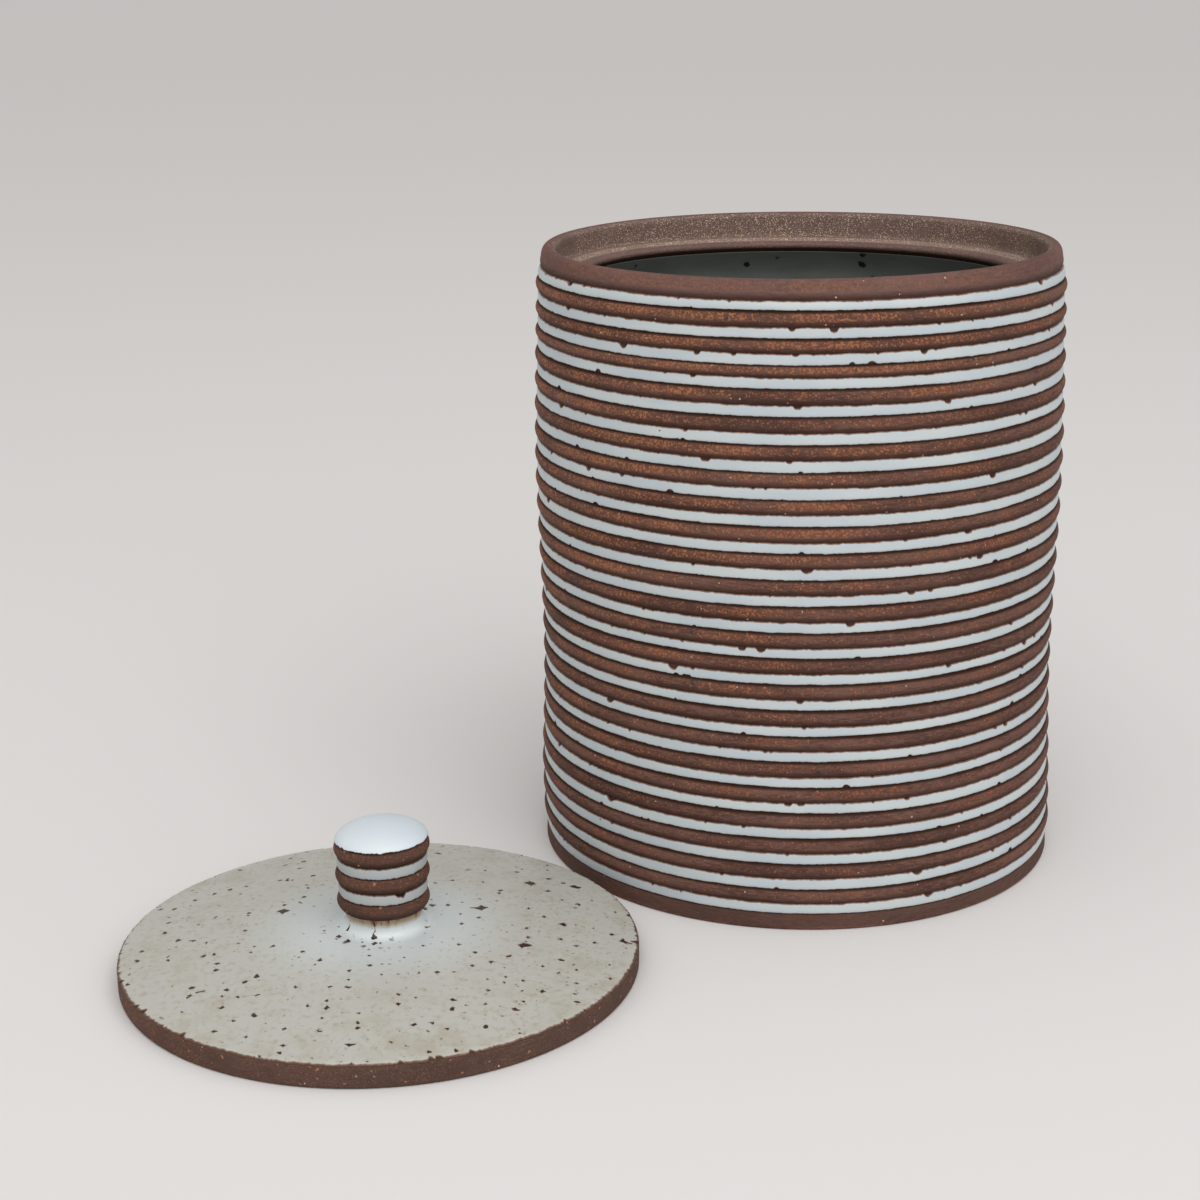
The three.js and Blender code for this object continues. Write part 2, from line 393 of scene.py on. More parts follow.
# %% Patterns
def stretch(where, tall, shift=(0, 0, 0)):
    """The same places shifted, and with their heights multiplied, which makes a pattern flat or tall."""
    return wire("Mapping", {"Vector": where, "Location": shift, "Scale": (1, 1, tall)}).outputs[0]


def toward(where, side):
    """How far places lie towards a side, as their dot product with it."""
    return wire("VectorMath", {0: where, 1: side}, operation="DOT_PRODUCT").outputs["Value"]


def drift(where, size, detail=2.0, rough=0.5):
    """Cloudy noise whose clouds are about size millimetres across."""
    inputs = {"Vector": where, "Scale": MM / size, "Detail": detail, "Roughness": rough}
    return wire("TexNoise", inputs).outputs[0]


def nudge(where, size, far):
    """The same places pushed about by noise, up to far millimetres, so that round spots get ragged."""
    noise = wire("TexNoise", {"Vector": where, "Scale": MM / size, "Detail": 2.0}).outputs["Color"]
    middle = wire("VectorMath", {0: noise, 1: (0.5, 0.5, 0.5)}, operation="SUBTRACT").outputs[0]
    push = wire("VectorMath", {0: middle, "Scale": 2 * far / MM}, operation="SCALE").outputs[0]
    return wire("VectorMath", {0: where, 1: push}, operation="ADD").outputs[0]


def grains(where, size):
    """Grains packed about size millimetres apart: 1 in the middle of each, and about 0.4 between them."""
    cells = wire("TexVoronoi", {"Vector": where, "Scale": MM / size})
    return calc("SUBTRACT", 1.0, cells.outputs["Distance"])


def spots(where, cell, smallest, largest, soft, **shape):
    """Scattered spots, one in each cell of a pattern whose settings give their shape, in millimetres.

    A spot's radius runs from smallest to largest by the cell's own random value, and a radius below
    zero leaves that cell empty. The result is 1 inside a spot and falls to 0 over the soft width.
    """
    cells = wire("TexVoronoi", {"Vector": where, "Scale": MM / cell}, **shape)
    dice = wire("SeparateColor", {"Color": cells.outputs["Color"]}).outputs[0]
    radius = span(dice, 0.0, 1.0, smallest / cell, largest / cell)
    inside = calc("SUBTRACT", radius, cells.outputs["Distance"])
    return step(inside, 0.0, soft / cell)


def dress(shader, colour, rough, height, depth):
    """Gives a shader its colour, its roughness, and a bump of some depth, from a height of 0 to 1."""
    bump = wire("Bump", {"Height": height, "Distance": depth / MM, "Strength": 1.0}).outputs[0]
    plug(shader, {"Base Color": colour, "Roughness": rough, "Normal": bump})


print("clouds of 2 mm have a noise scale of", MM / 2)

# %% [markdown]
# ## Bare clay
#
# The clay is a dark brown stoneware that was left bare. Iron gives it rust granules, which gather on the
# crowns of the ribs in loose clusters over a warmer bloom. Grains of fired clay, called grog, show as pale
# dots, and a few blue-black spots are iron that melted. Next to the glaze the clay is almost black: partly
# iron that burnt there, partly painted shade in the crease.
#
# A mark on the points says where a place lies across its rib, from -1 below to 1 above, so the granules
# keep to the crown, the underside gets painted shade and the black line runs along the upper edge. The same
# mark paints shade into the groove beds, the throat and the bare clay inside. Three more marks are for the
# dusty gallery behind the lip, with a painted highlight along its ridge, for the darker clay of foot and lid,
# where tan chips show and which on the foot is painted shade, and for places too smooth for granules, which
# fired to a rose brown. Spots are listed with their cell, their smallest and largest radius and their soft
# edge.

# %% Clay finish
CLAY_GLOSS = 0.15
CLAY_ROUGH = 0.75
CLAY_LIGHT = paint(112, 82, 73)
CLAY_DARK = paint(80, 56, 49)
# Painted shade, laid on the undersides of the ribs and in recesses.
CLAY_SHADE = paint(56, 36, 30)
# Black of iron burnt next to the glaze, and painted shade in the creases, the throat and inside.
CLAY_BURN_AND_SHADE = paint(54, 31, 19)
CLAY_OLIVE = paint(120, 101, 94)
# A painted highlight along the ridge of the ledge.
LEDGE_HIGHLIGHT = paint(164, 138, 126)
# A darker clay for the foot, the lid and the knob; on the foot it is painted shade.
CLAY_DARKER = paint(74, 54, 45)
CLAY_ROSE = paint(124, 99, 96)
CLAY_BLOOM = paint(122, 80, 58)
RUST_FLECK = paint(150, 84, 60)
GOLD_FLECK = paint(178, 122, 86)
CHIP_TAN = paint(186, 132, 100)
PALE_GROG = paint(214, 188, 162)
INK_SPOT = paint(56, 55, 62)
CHIPS = (1.1, -0.35, 0.4, 0.15)
GROG = (2.0, -0.3, 0.26, 0.08)
INK = (7.0, -2.2, 0.8, 0.4)
FLAME_SIDE = (-1.2, 0.0, 1.25)
FLAME_REACH = 0.2
FLAME_MOST = 0.23
GRANULE_SIZE = 0.6
CLAY_MARKS = ("rib_share", "gallery", "darkened", "smooth")


def clay_body(where, rib, gallery, darkened, smooth):
    """Brown with streaks along the turning, then the tone of each mark, and painted shade below the crowns.

    On the foot the darker tone is painted shade, and on the ledge's ridge the light tone is a painted
    highlight.
    """
    turning = stretch(where, 5)
    tone = calc("ADD", drift(turning, 30, 3), drift(turning, 2.2, 3, 0.6))
    return layers(
        CLAY_DARK,
        (CLAY_LIGHT, step(tone, 0.75, 1.25)),
        (CLAY_ROSE, smooth, 0.5),
        (CLAY_DARKER, darkened, 0.8),
        (CLAY_OLIVE, gallery, 0.7),
        (LEDGE_HIGHLIGHT, step(gallery, 1.2, 1.8), 0.45),
        (CLAY_SHADE, step(rib, 0.0, -0.85), 0.75),
    )


def clay_granules(where, colour, crown, clean, fine):
    """Rust and gold granules, by the share of the crown, over a warmer bloom.

    A granule shows where packed grains and fine noise together pass a level. Inside slow clouds they pass
    it more easily, so there the granules crowd. The side that met the flame, on the left and above, has
    more and golder ones, and clean places have fewer.
    """
    flame = span(toward(where, FLAME_SIDE), 0.0, FLAME_REACH, 0.0, FLAME_MOST)
    cloud = calc("ADD", drift(stretch(where, 1.6), 18, 3, 0.6), flame)
    crowd = product(step(cloud, 0.48, 0.84), 0.2)
    packed = product(grains(nudge(where, 0.6, 0.25), GRANULE_SIZE), 0.6)
    packed = calc("ADD", packed, product(fine, 0.9))
    level = calc("SUBTRACT", calc("ADD", packed, crowd), product(clean, 0.12))
    gold = step(calc("ADD", drift(where, 0.8, 1), flame), 0.5, 0.85)
    fleck = lay(RUST_FLECK, GOLD_FLECK, gold)
    granules = step(level, 0.86, 1.02)
    return layers(colour, (CLAY_BLOOM, crowd, crown, 2.2), (fleck, granules, crown, 0.68))


def clay_finish():
    """The body, granules on the crowns, tan chips, dust, grog, ink spots, and the black of burnt edges and
    painted shade.
    """
    material, shader, where = new_finish("bare_clay", CLAY_GLOSS)
    rib, gallery, darkened, smooth = (mark(where, name) for name in CLAY_MARKS)
    colour = clay_body(where, rib, gallery, darkened, smooth)
    clean = calc("MAXIMUM", gallery, darkened)
    crown = product(step(rib, -0.5, 0.0), step(rib, 0.8, 0.55))
    crown = calc("SUBTRACT", crown, product(clean, 0.6), True)
    crown = calc("SUBTRACT", crown, smooth, True)
    fine = drift(where, 0.48, 2, 0.6)
    colour = clay_granules(where, colour, crown, clean, fine)
    thick = step(drift(where, 9), 0.2, 0.55)
    dust = product(step(drift(where, 0.3, 1), 0.56, 0.67), gallery, thick, 0.9)
    grog = product(spots(nudge(where, 0.7, 0.2), *GROG), 0.8)
    colour = layers(
        colour,
        (CHIP_TAN, spots(nudge(where, 0.6, 0.6), *CHIPS), step(darkened, 0.62, 0.75), 0.65),
        (PALE_GROG, calc("MAXIMUM", dust, grog)),
        (INK_SPOT, spots(nudge(where, 2.0, 0.5), *INK), 0.7),
        (CLAY_BURN_AND_SHADE, step(rib, 0.5, 0.8)),
    )
    grain = calc("ADD", fine, drift(stretch(where, 9), 4.0, 2))
    dress(shader, colour, CLAY_ROUGH, grain, 0.12)
    return material


clay = clay_finish()
print("clay finish has", len(clay.node_tree.nodes), "nodes")

# %% [markdown]
# ## White glaze in the grooves
#
# The band glaze is a bluish white that fired to a satin. It is thick enough to hide the clay, except at
# its edges, where it thins and the iron burns through as a tan fringe above and a dark line below. The dark
# line is also painted shade from the crease along that edge. The marks give each point's distance from the
# lower and the upper edge in millimetres.

# %% Band glaze finish
GLAZE_GLOSS = 0.5
BAND_COOL = paint(190, 200, 206)
BAND_WARM = paint(199, 207, 209)
BURNT_LINE_AND_SHADE = paint(52, 30, 20)
TAN_FRINGE = paint(130, 94, 72)
IRON_SPOT = paint(70, 46, 36)
BAND_SPOTS = (7.0, -1.1, 0.34, 0.15)


def band_finish(name, cool, warm, fringe):
    """Cloudy white, a line of burnt iron and painted crease shade along the lower edge, a fringe above, a few
    spots.
    """
    material, shader, where = new_finish(name, GLAZE_GLOSS)
    cloud = step(drift(stretch(where, 3), 22, 2), 0.35, 0.65)
    colour = lay(cool, warm, cloud)
    waver = product(drift(where, 1.1), 0.3)
    upper = calc("SUBTRACT", mark(where, "from_upper_edge"), waver)
    colour = lay(fringe, colour, step(upper, 0.0, 0.28))
    lower = calc("SUBTRACT", mark(where, "from_lower_edge"), waver)
    colour = lay(BURNT_LINE_AND_SHADE, colour, step(lower, -0.08, 0.14))
    colour = lay(colour, IRON_SPOT, spots(nudge(where, 0.8, 0.25), *BAND_SPOTS))
    rough = span(step(drift(where, 6), 0.3, 0.7), 0.0, 1.0, 0.34, 0.48)
    dress(shader, colour, rough, drift(where, 2.5), 0.05)
    return material


band_glaze = band_finish("band_glaze", BAND_COOL, BAND_WARM, TAN_FRINGE)
print("band glaze has", len(band_glaze.node_tree.nodes), "nodes")

# %% [markdown]
# ## Where the ribs are
#
# The frame gives each band's height and radius. Between two bands is a rib, and its crown stands a little
# outside the face of the bands. Below the lowest band is the foot and above the highest is the rolled rim.
# One function then says how deep the turned surface lies at any height, so clay and glaze agree exactly.
# The ribs are round and run down below the face of the glaze, so a thin, dark crease is left at each edge.

# %% The turned wall
BAND_FACE = 0.65
RIB_DEPTH = 1.05
RIB_POWER = 2.0
GROOVE_SWELL = 0.3
GLAZE_SINK = 0.55
RIM_BULGE_HEIGHT = 147.3
RIM_BULGE_RADIUS = 61.8
FOOT_TUCK = 0.6

foot_radius, _, jar_top = node_box("jar_body")[1]
band_names = sorted(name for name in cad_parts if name.startswith("glaze_band_"))
band_boxes = np.array([node_box(name) for name in band_names])
band_low, band_high = band_boxes[:, 0, 2], band_boxes[:, 1, 2]
band_radius = band_boxes[:, 1, 0]
edges_inside = np.stack([band_low, band_high], axis=-1).ravel()
wall_edges = np.array([-band_low[0], *edges_inside, 2 * RIM_BULGE_HEIGHT - band_high[-1]])


def crown_radius(height):
    """Radius of the rib crowns: the bands' radius plus their depth, and straight lines in between."""
    heights = [0, *(band_low + band_high) / 2, RIM_BULGE_HEIGHT]
    return np.interp(height, heights, [foot_radius - FOOT_TUCK, *band_radius + BAND_FACE, RIM_BULGE_RADIUS])


def share_between(height, edges):
    """A height's share of its rib or groove, -1 at the lower edge, 1 at the upper; and if it is a groove."""
    place = np.clip(np.searchsorted(edges, height) - 1, 0, len(edges) - 2)
    low, high = edges[place], edges[place + 1]
    return np.clip(2 * (height - low) / (high - low) - 1, -1, 1), place % 2 == 1


def wall_radius(height):
    """Crown radius less the depth: a rib falls away as |share| ** power, and a groove's bed swells."""
    share, groove = share_between(height, wall_edges)
    rib = RIB_DEPTH * np.abs(share) ** RIB_POWER
    return crown_radius(height) - np.where(groove, RIB_DEPTH - GROOVE_SWELL * (1 - share**2), rib)


print(len(band_names), "bands, from", band_low[0].round(2), "to", band_high[-1].round(2), "mm")

# %% [markdown]
# ## The jar's profile
#
# The outside rises from a small bevel at the foot, over every rib and groove, to the rolled rim. The lip
# is steep outside and softer inside. Behind it the gallery wall drops to the ledge that carries the lid.
# The ledge has a worn step and rolls under into the throat. The wall inside is hidden by the liner.

# %% Jar profile
RIB_POINTS = 11
FOOT_BEVEL = 0.7
LIP_CREST_RADIUS = 60.3
LIP_INSIDE = 1.3
GALLERY_RADIUS = 58.25
GALLERY_MIDDLE = 147.2
GALLERY_FILLET = 0.9
LEDGE_HEIGHT = 144.3
LEDGE_RIDGE = 55.2
LEDGE_STEP = 0.6
WORN_ACROSS = np.array([0.3, 0.1, -0.05, -0.2])
WORN_DOWN = np.array([0, 0.15, 0.85, 1])
THROAT_RADIUS = 51.6
THROAT_ROLL = 1.6
INSIDE_RADIUS = 57.0
SHOULDER_DROP = 9.0
FLOOR_HEIGHT = 6.0
INSIDE_CORNER = 4.0
FLOOR_INSET = 6.0
AXIS_GAP = 3.0


def eased(count):
    """Shares from -1 to 1 that lie closer together towards both ends."""
    return np.sin(np.linspace(-np.pi / 2, np.pi / 2, count))


def between(low, high, share):
    """Heights between pairs of edges, for shares from -1 to 1, in one row."""
    return ((low + high)[:, None] / 2 + (high - low)[:, None] / 2 * share).ravel()


def arc(radius, height, across, up, start, end, count):
    """Points on an ellipse: radius + across cos(angle), height + up sin(angle), angles in degrees."""
    angle = np.radians(np.linspace(start, end, count))
    return radius + across * np.cos(angle), height + up * np.sin(angle)


def join(*pieces):
    """One profile from several: their radii in a row, and their heights."""
    radii, heights = zip(*pieces)
    return np.hstack(radii), np.hstack(heights)


def outside_heights():
    """Heights of the points up the outside: close together at the edges of ribs, where the shape turns."""
    ribs = between(band_high[:-1], band_low[1:], eased(RIB_POINTS))
    grooves = between(band_low, band_high, np.array([-0.85, -0.3, 0.3, 0.85]))
    foot = np.linspace(FOOT_BEVEL * 1.5, band_low[0], 6)
    rim = np.linspace(band_high[-1], RIM_BULGE_HEIGHT, 6)
    return np.sort(np.concatenate([foot, ribs, grooves, rim]))


def rim_profile():
    """From the rim's widest place over the lip, down the gallery wall, along the ledge, into the throat.

    The throat's roll is flatter above than below.
    """
    lip = RIM_BULGE_RADIUS - LIP_CREST_RADIUS, jar_top - RIM_BULGE_HEIGHT
    outer = arc(LIP_CREST_RADIUS, RIM_BULGE_HEIGHT, *lip, 8, 90, 7)
    fall = LIP_CREST_RADIUS - GALLERY_RADIUS, LIP_INSIDE
    inner = arc(LIP_CREST_RADIUS, jar_top - LIP_INSIDE, *fall, 105, 180, 6)
    fillet = GALLERY_RADIUS - GALLERY_FILLET, LEDGE_HEIGHT + GALLERY_FILLET
    corner = arc(*fillet, GALLERY_FILLET, GALLERY_FILLET, 0, -90, 5)
    worn = LEDGE_RIDGE + WORN_ACROSS, LEDGE_HEIGHT - LEDGE_STEP * WORN_DOWN
    roll = THROAT_RADIUS + THROAT_ROLL, LEDGE_HEIGHT - THROAT_ROLL
    above = arc(*roll, THROAT_ROLL, THROAT_ROLL - LEDGE_STEP, 90, 180, 7)
    below = arc(*roll, THROAT_ROLL, THROAT_ROLL, 190, 225, 4)
    return join(outer, inner, (GALLERY_RADIUS, GALLERY_MIDDLE), corner, worn, above, below)


def inside_profile(coat, points):
    """From under the throat, out over the shoulder, down the wall and round the corner to the floor."""
    roll = THROAT_RADIUS + THROAT_ROLL, LEDGE_HEIGHT - THROAT_ROLL
    (throat,), (top,) = arc(*roll, THROAT_ROLL, THROAT_ROLL, 225, 225, 1)
    wide, low = INSIDE_RADIUS - coat, FLOOR_HEIGHT + INSIDE_CORNER
    share = np.linspace(0, 1, points)[1:]
    shoulder = throat + (wide - throat) * np.sin(share * np.pi / 2), top - SHOULDER_DROP * share
    wall = np.full(points, wide), np.linspace(top - SHOULDER_DROP, low, points + 1)[1:]
    bend = INSIDE_CORNER - coat
    corner = arc(INSIDE_RADIUS - INSIDE_CORNER, low, bend, bend, -15, -90, 5)
    flat = np.linspace(INSIDE_RADIUS - INSIDE_CORNER - FLOOR_INSET, AXIS_GAP, points)
    return join(shoulder, wall, corner, (flat, np.full(points, FLOOR_HEIGHT + coat)))


print("the outside has", len(outside_heights()), "heights, and the rim", len(rim_profile()[0]), "points")

# %% [markdown]
# ## The jar's clay
#
# The profile is carried round with the hand's faults on it. Every piece of the jar gets them from the same
# function, so the pieces stay together. The marks follow the profile: ribs outside, then the smooth rim, the
# dusty gallery wall, the ridge with its painted highlight, the smooth ledge and the painted shade of the
# throat. At the back the ledge lies low.

# %% Jar clay
JAR_TURNS = 220
SQUEEZE_FULL = 50.0
LEDGE_DROP = (0.5, 90, -2.7, -1.2)
LEDGE_DROP_END = (2.7, 0.7)
DUST_END = (59.0, 59.6)
# The throat below the ledge gets painted shade: the first number is its most, the second how far down it
# grows.
THROAT_SHADE_MOST = 0.75
THROAT_SHADE = 2.2
RIM_SMOOTH = 0.65
FOOT_SMOOTH = 0.3
FOOT_DARKENED = 0.65
GROOVE_SHADE = -0.7
INSIDE_SHADE = 0.8


def thrown_piece(name, turns, radius, height, drop=0.0, **more):
    """A turned piece of the jar that is pressed in, wanders and leans with it, and is lowered by a drop."""
    angle = around(turns)
    squeeze = hand_squeeze(angle, height) * fade(radius, 0, SQUEEZE_FULL)
    places = radius - squeeze, height + hand_wander(angle, height, jar_top) - drop
    return turned_piece(name, *places, slip=hand_lean(height), **more)


def rim_marks(radius, height):
    """Marks along the rim: gallery, highest on the ridge, which gets a painted highlight; smooth; and the
    painted shade of the throat.
    """
    ridge = LEDGE_RIDGE + np.array([-0.5, -0.2, 0.3, 0.6])
    gallery = np.interp(radius, [THROAT_RADIUS, *ridge, *DUST_END], [0.3, 0.4, 2.0, 2.0, 1.0, 1.0, 0.0])
    places = [LEDGE_RIDGE, LEDGE_RIDGE + 0.4, LIP_CREST_RADIUS, RIM_BULGE_RADIUS]
    smooth = np.interp(radius, places, [1.0, 0.0, 0.8, RIM_SMOOTH])
    ledge = LEDGE_HEIGHT - LEDGE_STEP
    throat = THROAT_SHADE_MOST * fade(height, ledge, ledge - THROAT_SHADE) * (radius < LEDGE_RIDGE)
    return gallery, smooth, throat


def ledge_drop(angle, radius, height):
    """How far the ledge and the foot of the gallery wall lie low at the back, fading out in the throat."""
    above = height - LEDGE_HEIGHT
    part = fade(above, *LEDGE_DROP_END) * (radius < GALLERY_RADIUS + 0.1)
    return fault(angle, above, *LEDGE_DROP) * part


def make_jar_clay():
    """The clay in one closed skin, with the four marks of its finish."""
    heights = outside_heights()
    wall = wall_radius(heights), heights
    edge = wall[0][0] - FOOT_BEVEL
    base = np.array([AXIS_GAP, 20, 40, 58, edge]), np.zeros(5)
    foot = arc(edge, FOOT_BEVEL, FOOT_BEVEL, FOOT_BEVEL, -80, -5, 5)
    rim = rim_profile()
    radius, height = join(base, foot, wall, rim, inside_profile(0, 10))
    first = len(base[0]) + len(foot[0])
    outside = slice(first, first + len(heights))
    lip = slice(outside.stop, outside.stop + len(rim[0]))
    share, groove = share_between(heights, wall_edges)
    on_foot, on_rim = heights < band_low[0], heights > band_high[-1]
    across, gallery, darkened, smooth = np.zeros((4, len(radius)))
    # Groove beds, which show where bites open the glaze, get painted shade.
    across[outside] = np.where(groove, GROOVE_SHADE, np.where(on_foot, share**4, share))
    gallery[lip], smooth[lip], across[lip] = rim_marks(*rim)
    # The bare clay inside gets painted shade.
    across[lip.stop:] = INSIDE_SHADE
    # Painted shade: the clay of the foot is darker.
    darkened[outside] = FOOT_DARKENED * on_foot
    smooth[outside] = np.where(on_rim, RIM_SMOOTH, FOOT_SMOOTH * on_foot)
    marks = dict(zip(CLAY_MARKS, (across, gallery, darkened, smooth)))
    drop = ledge_drop(around(JAR_TURNS), radius, height)
    return thrown_piece("jar_clay", JAR_TURNS, radius, height, drop, marks=marks)


set_in_place(make_jar_clay(), clay, "jar", "clay", "jar_body")

# %% [markdown]
# ## The glaze bands
#
# A band is a thin ring that follows the groove. A flat strip with a painted edge would look printed, so
# the ring has real edges: they wander, they are ragged, and bites are taken out of them where the clay
# was rough. The film is rounded at its edges and dips below the clay there, so no gap shows. Bites are
# listed with their number, the widest and the deepest. Noises are listed with the fewest and the most waves
# round the ring and their fall.

# %% Glaze bands
BAND_TURNS = 1584
BAND_POINTS = 8
FILM_LEAST = 0.06
FILM_BURIED = 0.12
FILM_ROOT = 0.45
BAND_SPILL = 0.24
BAND_SWING = 0.07
SWING_WIDEST = 6.5
SWING_BANDS = 17
BAND_RAGGED = (0.025, 0.05)
BAND_UNEVEN = (0.06, 0.06)
RAGGED_NOISE = (30, 420, 0.8)
UNEVEN_NOISE = (2, 24, 1.0)
BITES_BELOW = (10, 0.95, 0.8)
BITES_ABOVE = (18, 1.25, 1.1)


def film_section(low, high, bed, crown, sink):
    """A film between two edges that vary with the angle, as a closed profile, and its marks.

    Across the film the share runs from -1 to 1. The film fills its bed up to some way under the crowns, and
    is at least a skin thick. Its edges are round, (1 - |share| ** 8) ** 0.5, and sink into the clay. The
    last two points are the root inside the clay.
    """
    share = eased(BAND_POINTS)
    height = (low + high) / 2 + (high - low) / 2 * share
    sunk = bed(height) - FILM_BURIED
    full = np.maximum(crown(height) - sink, bed(height) + FILM_LEAST)
    radius = sunk + (full - sunk) * np.sqrt(1 - np.abs(share) ** 8)
    root = np.hstack([height[:, -2:-1], height[:, 1:2]])
    heights = np.hstack([height, root])
    radii = np.hstack([radius, bed(root) - FILM_ROOT])
    return radii, heights, {"from_lower_edge": heights - low, "from_upper_edge": high - heights}


def make_band(number, name):
    """One glazed groove: its two edges are the frame's heights, made ragged, bitten and a little uneven.

    The glaze spills a little over both edges. How far swings slowly up and down the jar, as the hand grew
    surer and tired again: spill + swing cos(2 pi (bands from the top - widest) / bands of one swing).
    """
    dice = np.random.default_rng(100 + number)
    ragged = [size * ring_noise(dice, BAND_TURNS, *RAGGED_NOISE) for size in BAND_RAGGED]
    uneven = [size * ring_noise(dice, BAND_TURNS, *UNEVEN_NOISE) for size in BAND_UNEVEN]
    below = ring_bites(dice, BAND_TURNS, band_radius[number], *BITES_BELOW)
    above = ring_bites(dice, BAND_TURNS, band_radius[number], *BITES_ABOVE)
    from_top = len(band_names) - 1 - number
    spill = BAND_SPILL + BAND_SWING * math.cos(2 * math.pi * (from_top - SWING_WIDEST) / SWING_BANDS)
    low = band_low[number] + ragged[0] + uneven[0] + below - spill
    high = band_high[number] + ragged[1] + uneven[1] - above + spill
    radius, height, marks = film_section(low, high, wall_radius, crown_radius, GLAZE_SINK)
    piece = name.replace("glaze_band", "white_band")
    return thrown_piece(piece, BAND_TURNS, radius, height, closed=True, marks=marks)


for number, name in enumerate(band_names):
    set_in_place(make_band(number, name), band_glaze, "jar", "band_glaze", name)

# %% [markdown]
# ## The liner
#
# Inside, the jar is glazed from under the throat to the floor, in a greyer, greener glaze with iron spots.
# A line of bare clay shows above it. Potters leave faint rings where their fingers rose up the wall, so the
# profile has a shallow ripple.

# %% Liner glaze
LINER_TURNS = 160
LINER_COAT = 0.5
LINER_TOP = LEDGE_HEIGHT - 1.7 * THROAT_ROLL - 0.9
LINER_ROUGH = 0.3
LINER_TONE = paint(106, 111, 105)
LINER_DEEP = paint(97, 103, 98)
LINER_SPOT = paint(30, 26, 24)
LINER_SPOTS = (4.2, -0.8, 1.4, 0.3)
RIPPLE_PITCH = 5.5
RIPPLE_DEPTH = 0.3
RIPPLE_LOW = FLOOR_HEIGHT + INSIDE_CORNER
RIPPLE_HIGH = 136.0
RIPPLE_FADE = 6.0


def liner_finish():
    """Grey-green clouds, with iron spots of one to two millimetres."""
    material, shader, where = new_finish("liner_glaze", GLAZE_GLOSS)
    cloud = step(drift(stretch(where, 3), 18, 3), 0.35, 0.65)
    colour = lay(LINER_DEEP, LINER_TONE, cloud)
    colour = lay(colour, LINER_SPOT, spots(nudge(where, 1.0, 0.8), *LINER_SPOTS))
    dress(shader, colour, LINER_ROUGH, drift(where, 4), 0.06)
    return material


def make_liner():
    """The coat as a closed skin: its open face with a ripple, and its back face inside the clay."""
    radius, height = inside_profile(LINER_COAT, 60)
    glazed = height < LINER_TOP
    radius, height = radius[glazed], height[glazed]
    wall = fade(height, RIPPLE_LOW, RIPPLE_LOW + RIPPLE_FADE)
    wall = wall * fade(height, RIPPLE_HIGH, RIPPLE_HIGH - RIPPLE_FADE)
    radius = radius - RIPPLE_DEPTH * wall * (0.5 + 0.5 * np.sin(2 * np.pi * height / RIPPLE_PITCH))
    back_radius, back_height = inside_profile(-LINER_COAT / 2, 6)
    start = radius[0] + LINER_COAT + 0.2, height[0] + 0.25
    radius, height = join((back_radius[::-1], back_height[::-1]), start, (radius, height))
    return thrown_piece("liner_coat", LINER_TURNS, radius, height)


set_in_place(make_liner(), liner_finish(), "jar", "liner_glaze", "liner_glaze")

# %% [markdown]
# ## The lid's clay
#
# The lid is a low dome with a square edge that was left bare, and a shallow hollow underneath. It is made
# in two pieces, as the potter made it: the disc, and the knob that was thrown onto it.

# %% Lid clay
LID_TURNS = 240
LID_EDGE_ROUND = 0.5
LID_CHAMFER = 0.8
LID_REST_WIDTH = 7.5
LID_HOLLOW = 3.0
LID_DOME_POWER = 1.5
LID_PRESS = 0.05
LID_MARKS = (0.1, 0.8, 0.15)
NECK_RADIUS = 8.2
NECK_SPREAD = 2.0
NECK_RISE = 2.6
UNDER_COAT_SHADE = -0.3

lid_low, lid_high = node_box("lid_disc")
lid_centre = (lid_low[:2] + lid_high[:2]) / 2
lid_radius = (lid_high[0] - lid_low[0]) / 2
lid_edge_height, rib_start = node_box("lid_glaze")[:, 2]
knob_seat = node_box("lid_knob")[0, 2]
knob_foot_radius = NECK_RADIUS + NECK_SPREAD


def dome_height(radius):
    """Edge height plus the rise times 1 - share ** power, with a share of 0 at the knob and 1 at the edge."""
    share = fade(radius, knob_foot_radius, lid_radius)
    return lid_edge_height + (knob_seat - lid_edge_height) * (1 - share**LID_DOME_POWER)


def make_lid_disc():
    """Hollow underside, flat ring to rest on, chamfer, square edge with a soft corner, and the dome."""
    chamfer, shoulder = lid_radius - LID_CHAMFER, lid_edge_height - LID_EDGE_ROUND
    rest = chamfer - LID_REST_WIDTH
    hollow = arc(0, 0, rest, LID_HOLLOW, 88, 2, 14)
    ring = np.array([rest, rest + LID_REST_WIDTH / 2, chamfer]), np.zeros(3)
    corner = arc(chamfer, LID_CHAMFER, LID_CHAMFER, LID_CHAMFER, -70, -5, 4)
    side = np.full(6, lid_radius), np.linspace(LID_CHAMFER + 0.3, shoulder, 6)
    top = arc(lid_radius - LID_EDGE_ROUND, shoulder, LID_EDGE_ROUND, LID_EDGE_ROUND, 20, 80, 4)
    dome_radius = np.linspace(lid_radius - 1.2, AXIS_GAP, 24)
    dome = dome_radius, dome_height(dome_radius) - 0.02
    radius, height = join(hollow, ring, corner, side, top, dome)
    across = np.zeros(len(radius))
    # Under the coat the clay gets a little painted shade, which shows where the coat's edge is bitten.
    across[-len(dome_radius) - 2:] = UNDER_COAT_SHADE
    squeeze = LID_PRESS * (1 - np.sin(3 * around(LID_TURNS) + 0.4)) * fade(radius, 0, lid_radius)
    marks = dict(zip(CLAY_MARKS, (across, *LID_MARKS)))
    return turned_piece("lid_clay", radius - squeeze, height, centre=lid_centre, marks=marks)


set_in_place(make_lid_disc(), clay, "lid", "clay", "lid_disc")

# %% [markdown]
# ## The knob
#
# The knob is a small version of the jar's wall: three ribs, two glazed grooves and a domed top. Its rings
# are not quite level, and the edge of its cap is tilted the most. A lump of clay sits on the middle rib.

